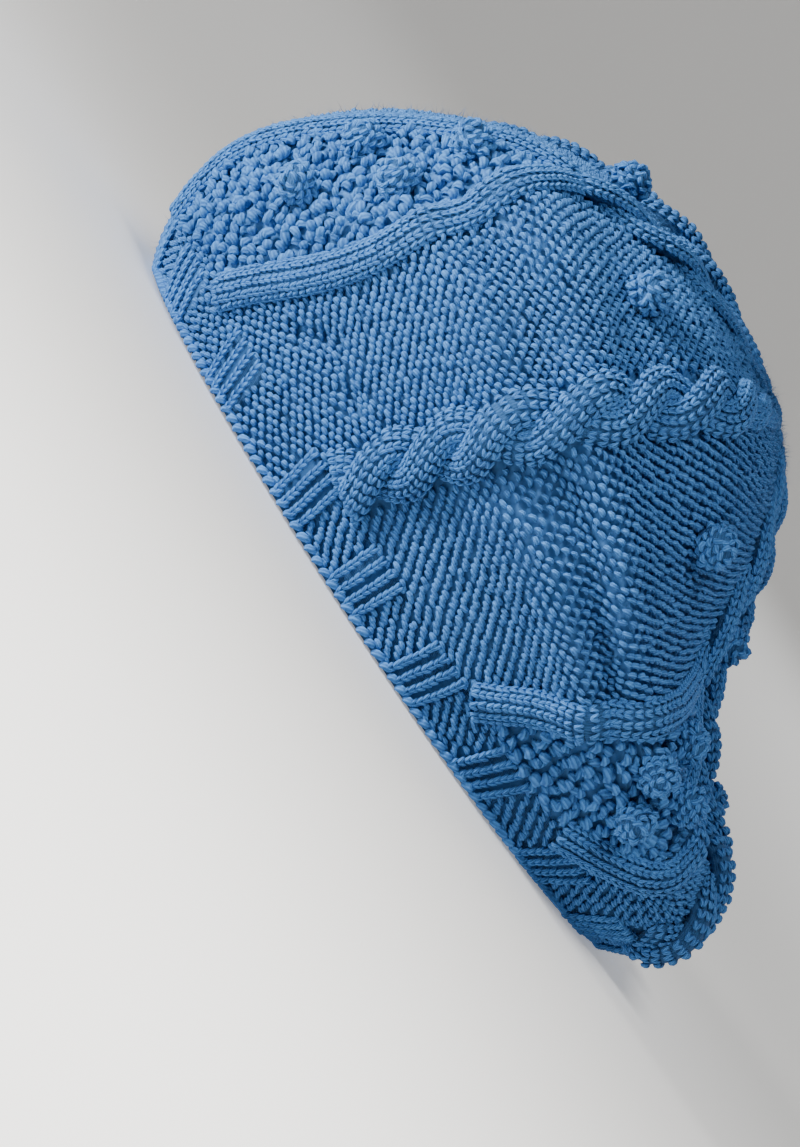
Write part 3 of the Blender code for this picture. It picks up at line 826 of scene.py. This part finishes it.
def cableFrames(path, climbs, offsets, heights):
    # centre points of a strand beside a path, with its three directions
    byAngle, byClimb = lateralStep(path, climbs)
    angle = path(climbs) + byAngle * offsets
    climb = np.maximum(climbs + byClimb * offsets, hat["cableStart"])
    centres = hatPoint(angle, climb, heights)
    along = unit(np.gradient(centres, axis=0))
    out = outward(angle, climb)
    across = unit(np.cross(along, out))
    out = unit(np.cross(across, along))
    return centres, across, along, out


def knitOverStrand(name, centres, across, along, out, halfWidths, halfHeights, wales, replaced):
    # knit stitches in wales over the upper half of a strand
    turns = np.radians(np.linspace(-cables["waleReach"], cables["waleReach"], wales))
    places, sides, ups, forwards = [], [], [], []
    for turn in turns:
        sine, cosine = math.sin(turn), math.cos(turn)
        spot = centres + across * (halfWidths * sine)[:, None] + out * (halfHeights * cosine)[:, None]
        up = unit(across * (sine / halfWidths)[:, None] + out * (cosine / halfHeights)[:, None])
        side = unit(np.cross(along, up))
        places.append(spot)
        ups.append(up)
        sides.append(side)
        forwards.append(unit(np.cross(up, side)))
    places, sides = np.concatenate(places), np.concatenate(sides)
    ups, forwards = np.concatenate(ups), np.concatenate(forwards)
    places = places + rng.normal(0, cables["jitter"], places.shape)
    sizes = 1 + rng.normal(0, cables["sizeSpread"], (len(places), 3))
    copyStitches(name, knee, places, sides, forwards, ups, sizes, smoothYarnMaterial, replaced)


def addRope(name, line, start, kind, node):
    # two strands that twist round each other, of the sizes that cables gives for its kind
    path = lambda climb: lineAngle(line, climb)
    width, height = cables[kind + "Width"], cables[kind + "Height"]
    climbs, walked = walkPath(path, start, cables["ropeEnd"], cables["rowStep"])
    rows = np.arange(len(climbs))
    fade = np.minimum(np.minimum(rows + 1.0, len(climbs) - rows) / cables["fadeRows"], 1)
    share = taper(climbs)
    for strand, side in enumerate((0.0, math.pi), 1):
        turn = math.pi * walked / cables[kind + "Twist"] + side
        offsets = cables["strandAside"] * np.cos(turn) * width / 2 * share
        rise = cables["strandMiddle"] + cables["strandRise"] * np.sin(turn)
        heights = height * rise * share  # the upper strand rests on the lower one
        centres, across, along, out = cableFrames(path, climbs, offsets, heights)
        halfWidths = cables["strandHalfWidth"] * width / 2 * share
        halfHeights = cables["strandHalfHeight"] * height * share * fade
        tubeAlong(f"{name}_body_{strand}", centres, across, out,
                  halfWidths * cables["bodyWidth"], halfHeights * cables["bodyHeight"])
        knitOverStrand(f"{name}_strand_{strand}", centres, across, along, out, halfWidths, halfHeights,
                       cables[kind + "Wales"], (node,) if strand == 1 else ())


def addColumn(name, line, side, node):
    path = lambda climb: leafAngle(line, climb, side)
    climbs = walkPath(path, hat["cableStart"], cables["tipStart"], cables["rowStep"])[0]
    zeros = np.zeros(len(climbs))
    centres, across, along, out = cableFrames(path, climbs, zeros, zeros + cables["columnLift"])
    halfWidths = zeros + cables["columnWidth"] / 2
    halfHeights = zeros + cables["columnHeight"]
    tubeAlong(name + "_body", centres, across, out,
              halfWidths * cables["columnBodyWidth"], halfHeights * cables["columnBodyHeight"])
    knitOverStrand(name + "_stitches", centres, across, along, out, halfWidths, halfHeights,
                   cables["columnWales"], (node,))


def addCables():
    ropes = 0
    leaves = 0
    for line, row in enumerate(patternLines):
        if row[0] == "rope":
            ropes += 1
            addRope(f"rope_{ropes}", line, hat["cableStart"], "rope", f"rope_cable_{ropes}")
        else:
            leaves += 1
            for side, letter in ((-1.0, "a"), (1.0, "b")):
                addColumn(f"column_{leaves}{letter}", line, side, f"leaf_column_{leaves}{letter}")
            addRope(f"tip_{leaves}", line, cables["tipStart"], "tip", f"tip_rope_{leaves}")
        print("cables after line", line + 1)


# Bobbles: a ball of yarn turns, worked like the purl bumps but wrapped round a knot

bobbles = {
    "radius": 0.0066, "leafPlaces": ((0.245, 0.08), (0.338, -0.38), (0.362, 0.32), (0.458, -0.15)),
    "wedgeClimb": 0.665, "wedgeSize": 1.05, "turns": 46, "seat": 0.62, "wrap": 1.35,
    "turnReach": (0.80, 0.98), "turnLean": 0.5, "turnSizes": (0.85, 1.15), "turnShape": (1.05, 1.1, 1.1),
    "coreShare": 0.80, "coreSwell": 0.06, "coreWaves": (1400, 1300),
}


def addBobble(name, angle, climb, node, size=1.0):
    angle, climb = np.array([float(angle)]), np.array([float(climb)])
    places, across, along, out = surfaceFrames(angle, climb, bobbles["radius"] * bobbles["seat"])
    middle, side, forward, up = places[0], across[0], along[0], out[0]
    radius = bobbles["radius"] * size
    count = bobbles["turns"]
    k = np.arange(count) + 0.5
    height = 1 - bobbles["wrap"] * k / count  # the lowest turns meet the wall
    spin = k * math.pi * (3 - math.sqrt(5))
    flat = np.sqrt(np.maximum(1 - height**2, 0))
    ways = (flat * np.cos(spin))[:, None] * side + (flat * np.sin(spin))[:, None] * forward
    ways = ways + height[:, None] * up
    spots = middle + ways * radius * rng.uniform(*bobbles["turnReach"], (count, 1))
    lean = unit(np.cross(ways, rng.normal(0, 1, (count, 3)) * bobbles["turnLean"] + up))
    squared = unit(np.cross(ways, lean))
    sizes = rng.uniform(*bobbles["turnSizes"], (count, 3)) * np.array(bobbles["turnShape"])
    copyStitches(name + "_turns", purl, spots, lean, squared, ways, sizes, smoothYarnMaterial,
                 (node,))
    deselectAll()
    bpy.ops.mesh.primitive_ico_sphere_add(subdivisions=3, radius=radius * bobbles["coreShare"])
    core = bpy.context.object
    core.name = name + "_core"
    co = np.array([v.co[:] for v in core.data.vertices])
    waves = np.sin(co[:, :1] * bobbles["coreWaves"][0]) * np.cos(co[:, 1:2] * bobbles["coreWaves"][1])
    swell = 1 + bobbles["coreSwell"] * waves
    core.data.vertices.foreach_set("co", (middle + co * swell).ravel())
    core.data.shade_smooth()
    # painted shade: the core's darker wall blue shows between the bobble's turns
    core.data.materials.append(shadedWallMaterial)
    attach(core, "root")


def addBobbles():
    for number, line in enumerate(leafLines, 1):
        for place, (climb, share) in enumerate(bobbles["leafPlaces"], 1):
            at = leafAngle(line, np.array(climb), share)
            addBobble(f"leafBobble_{number}_{place}", at, climb, f"leaf_bobble_{number}_{place}")
        for side, letter in ((-0.5, "a"), (0.5, "b")):
            at = patternAngle(line + side, np.array(bobbles["wedgeClimb"]))
            addBobble(f"wedgeBobble_{number}{letter}", at, bobbles["wedgeClimb"],
                      f"wedge_bobble_{number}{letter}", bobbles["wedgeSize"])


# Loose fibres that stand off the yarn

fuzz = {
    "count": 9000, "length": 0.0036, "thick": 0.00007, "ringAt": 0.1, "bend": 0.45,
    "lowest": 0.02, "climbs": 0.94, "crowding": 0.75, "seatHeight": 0.0012,
    "leanSpread": 0.75, "leanShare": 0.9, "leastOut": 0.15, "sizes": (0.5, 1.3),
}


def fibreTemplate():
    # a thin bent hair: a three-sided cone with one ring in the middle
    deselectAll()
    bpy.ops.mesh.primitive_cone_add(vertices=3, radius1=1.0, radius2=0.0, depth=2.0, end_fill_type="NGON")
    hair = bpy.context.object
    bpy.ops.object.mode_set(mode="EDIT")
    bpy.ops.mesh.select_all(action="SELECT")
    bpy.ops.mesh.bisect(plane_co=(0, 0, fuzz["ringAt"]), plane_no=(0, 0, 1))
    bpy.ops.object.mode_set(mode="OBJECT")
    template = readTemplate(hair)
    share = (template["points"][:, 2] + 1) / 2
    template["points"][:, :2] *= fuzz["thick"]
    template["points"][:, 2] = share * fuzz["length"]
    template["points"][:, 0] += fuzz["bend"] * fuzz["length"] * share**2
    return template


def addFuzz():
    count = fuzz["count"]
    climb = fuzz["lowest"] + fuzz["climbs"] * rng.uniform(0, 1, count)**fuzz["crowding"]
    angle = rng.uniform(0, 360, count)
    places, _, _, out = surfaceFrames(angle, climb, fuzz["seatHeight"])
    lean = rng.normal(0, fuzz["leanSpread"], (count, 3))
    up = unit(out + lean * fuzz["leanShare"])
    up = unit(up + out * np.maximum(fuzz["leastOut"] - (up * out).sum(-1), 0)[:, None])
    side = unit(np.cross(up, rng.normal(0, 1, (count, 3))))
    forward = np.cross(up, side)
    sizes = rng.uniform(*fuzz["sizes"], (count, 1)) * np.ones(3)
    copyStitches("looseFibres", fibreTemplate(), places, side, forward, up, sizes,
                 yarnMaterial)
    print("loose fibres", count)


# Camera, floor and light

view = {
    "elevation": 6.5, "distance": 1.6, "lens": 170.5, "alongY": -0.008, "up": 0.0132,
    "rightY": 0.551, "rightUp": 0.835, "lower": 0.0046, "sensor": 36.0, "nearest": 0.05, "farthest": 50.0,
}


def addCamera():
    lift = math.radians(view["elevation"])
    upward = Vector((-math.sin(lift), 0, math.cos(lift)))
    back = Vector((math.cos(lift), 0, math.sin(lift)))
    target = Vector((shift[0], shift[1] + view["alongY"], 0)) + upward * view["up"]
    right = Vector((0, 1, 0)) * view["rightY"] + upward * view["rightUp"]
    top = Vector((0, 1, 0)) * -view["rightUp"] + upward * view["rightY"]
    target -= top * view["lower"]
    deselectAll()
    bpy.ops.object.camera_add(location=target + back * view["distance"])
    camera = bpy.context.object
    camera.data.lens = view["lens"]
    camera.data.sensor_width = view["sensor"]
    camera.data.clip_start = view["nearest"]
    camera.data.clip_end = view["farthest"]
    axes = np.array([right.normalized(), top.normalized(), back.normalized()]).T
    camera.rotation_mode = "QUATERNION"
    camera.rotation_quaternion = Matrix(axes.tolist()).to_quaternion()
    bpy.context.scene.camera = camera


studio = {
    "floorSize": 24.0, "floorRows": (60, 4), "sweepStart": -2.5, "sweepRise": 0.35,
    "floorColour": (0.90, 0.89, 0.87), "floorRoughness": 0.9,
    "glowColour": (1.0, 0.99, 0.97), "glow": 0.30,  # an even floor, which also lights the rim
    "worldColour": (0.80, 0.81, 0.83), "worldStrength": 0.05,
}

# Lights: name, place, aim, size, energy, colour and spread in degrees
lights = (
    ("keyLight", (0.52, -1.33, 0.14), (0, 0, 0.03), 0.30, 38, (1.0, 0.98, 0.95), 180),
    ("farLight", (-1.25, 0.80, 0.40), (0, 0, 0.05), 0.80, 8, (0.96, 0.98, 1.0), 180),
    ("floorLight", (0.95, -0.15, 1.10), (0.75, -0.10, 0), 0.70, 9, (1.0, 0.99, 0.97), 70),
)


def addArea(name, location, aim, size, energy, colour, spread):
    deselectAll()
    bpy.ops.object.light_add(type="AREA", location=location)
    light = bpy.context.object
    light.name = name
    light.data.size = size
    light.data.energy = energy
    light.data.color = colour
    light.data.spread = math.radians(spread)
    direction = Vector(aim) - Vector(location)
    light.rotation_mode = "QUATERNION"
    light.rotation_quaternion = direction.to_track_quat("-Z", "Y")


def addStage():
    deselectAll()
    bpy.ops.mesh.primitive_grid_add(x_subdivisions=studio["floorRows"][0],
                                    y_subdivisions=studio["floorRows"][1], size=studio["floorSize"])
    floor = bpy.context.object
    floor.name = "floor"
    for vert in floor.data.vertices:
        vert.co.z = studio["sweepRise"] * max(studio["sweepStart"] - vert.co.x, 0.0)**2  # behind the hat
    floor.data.shade_smooth()
    paint = bpy.data.materials.new("paleFloor")
    paint.use_nodes = True
    shader = paint.node_tree.nodes["Principled BSDF"]
    shader.inputs["Base Color"].default_value = (*studio["floorColour"], 1)
    shader.inputs["Roughness"].default_value = studio["floorRoughness"]
    shader.inputs["Emission Color"].default_value = (*studio["glowColour"], 1)
    shader.inputs["Emission Strength"].default_value = studio["glow"]
    floor.data.materials.append(paint)
    floor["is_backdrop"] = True
    world = bpy.data.worlds.new("studio")
    bpy.context.scene.world = world
    world.use_nodes = True
    background = world.node_tree.nodes["Background"]
    background.inputs["Color"].default_value = (*studio["worldColour"], 1)
    background.inputs["Strength"].default_value = studio["worldStrength"]
    for row in lights:
        addArea(*row)


addCamera()
addStage()
print("stage and camera made")
hatShell("crownFabric", hat["bandClimb"] + wall["seam"], 1.0, wall["crownGrid"], "crown")
hatShell("bandFabric", 0.0, hat["bandClimb"], wall["bandGrid"], "band")
print("fabric walls made")
addGround()
addLeafStitches()
addBandStitches()
addCables()
addBobbles()
addFuzz()
shown = [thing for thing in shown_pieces() if thing.type == "MESH"]
faces = {thing.name: sum(len(face.vertices) - 2 for face in thing.data.polygons) for thing in shown}
print("pieces", len(faces), "triangles", sum(faces.values()), "most in one", max(faces.values()))

low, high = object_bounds()
{"cad": [list(cadLow), list(cadHigh)], "visual": [list(low), list(high)]}
